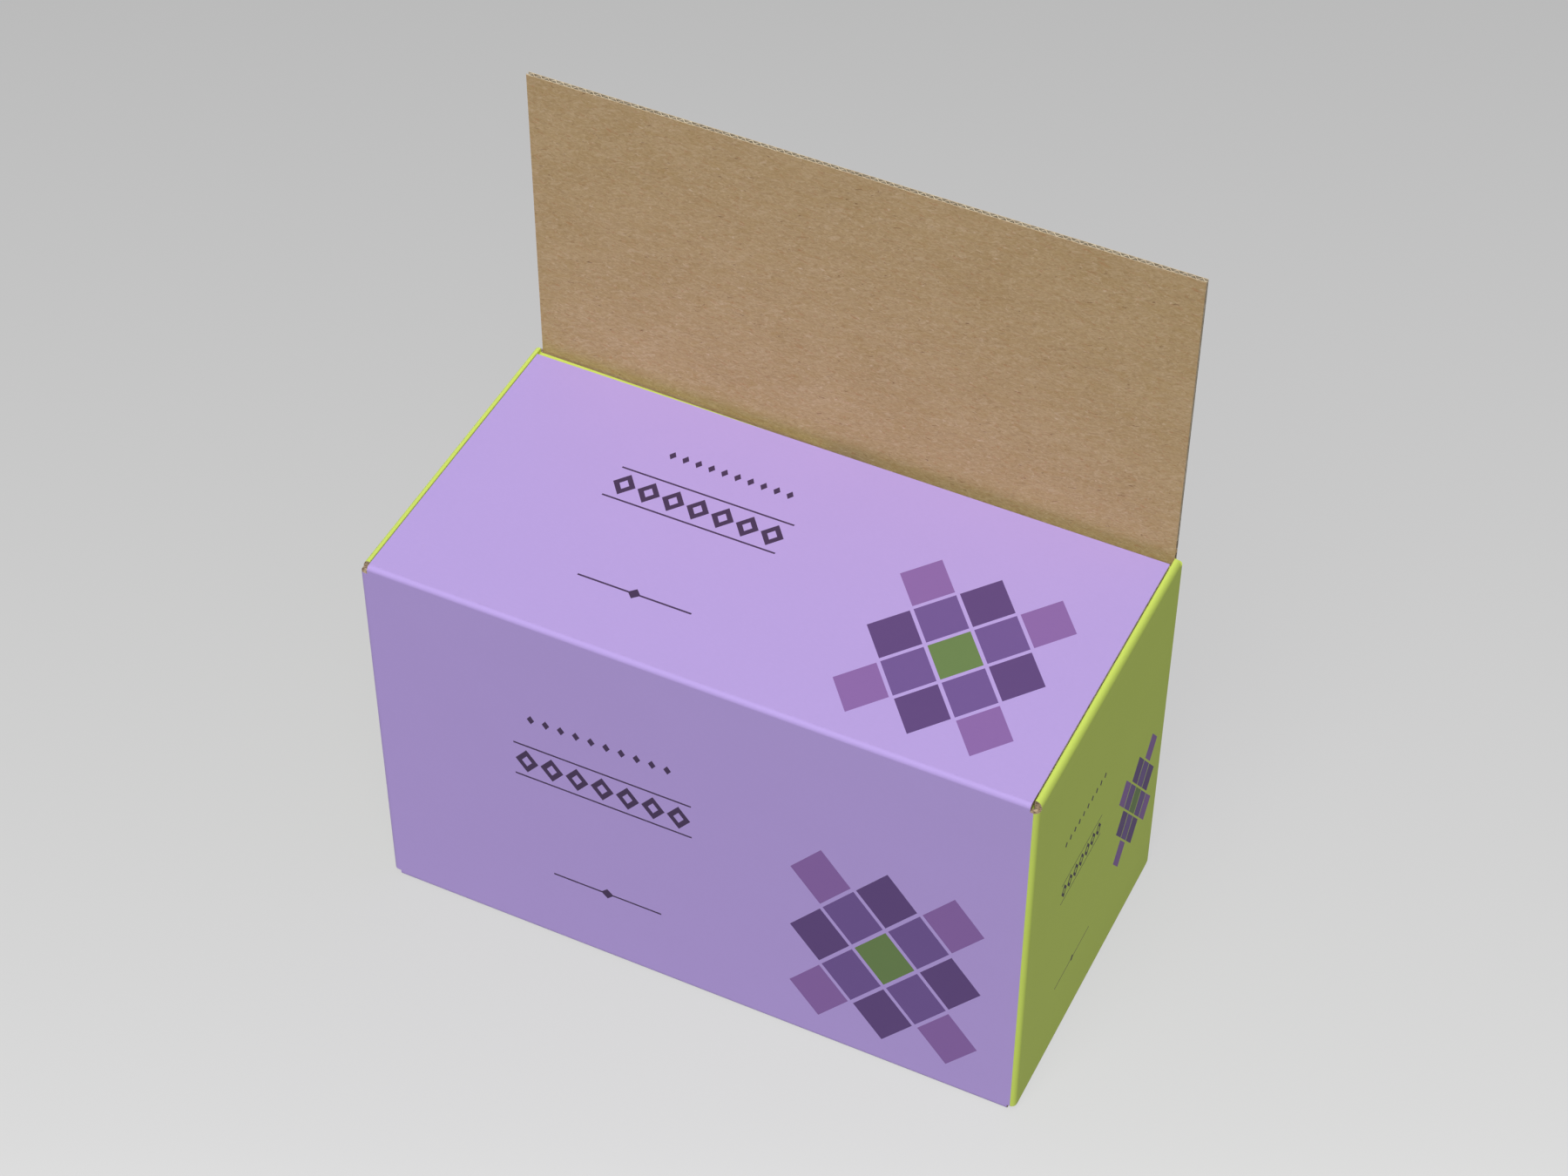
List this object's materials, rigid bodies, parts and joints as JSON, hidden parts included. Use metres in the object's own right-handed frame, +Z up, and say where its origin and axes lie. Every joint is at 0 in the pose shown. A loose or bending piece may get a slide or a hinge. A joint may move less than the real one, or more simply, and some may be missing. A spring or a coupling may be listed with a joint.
{
  "type": "full overlap carton",
  "caption": "Folded corrugated carton with full overlap long flaps: the inner flap is closed and the outer flap stands upright.",
  "frame": {"origin": "middle of the base, on the surface the carton stands on", "axes": "+Z up, the front panel towards -Y, the right end towards +X"},
  "size_m": [0.406, 0.206, 0.4607],
  "materials": {
    "printed_board": "matte, printed lilac on the long sides and lime on the ends",
    "lilac_board": "matte, printed lilac outside, bare kraft inside",
    "kraft_board": "matte bare kraft inside, printed lilac outside"
  },
  "bodies": {
    "carton": {"carton_body": "printed_board"},
    "inner": {"inner_flap": "lilac_board"},
    "outer": {"outer_flap": "kraft_board"}
  },
  "joints": [
    {"name": "inner_flap_fold", "type": "hinge", "parent": "carton", "child": "inner", "pos_m": [0, -0.103, 0.2625], "axis": [1, 0, 0], "range_deg": [0, 255]},
    {"name": "outer_flap_fold", "type": "hinge", "parent": "carton", "child": "outer", "pos_m": [0, 0.103, 0.2658], "axis": [1, 0, 0], "range_deg": [-165, 90]}
  ]
}
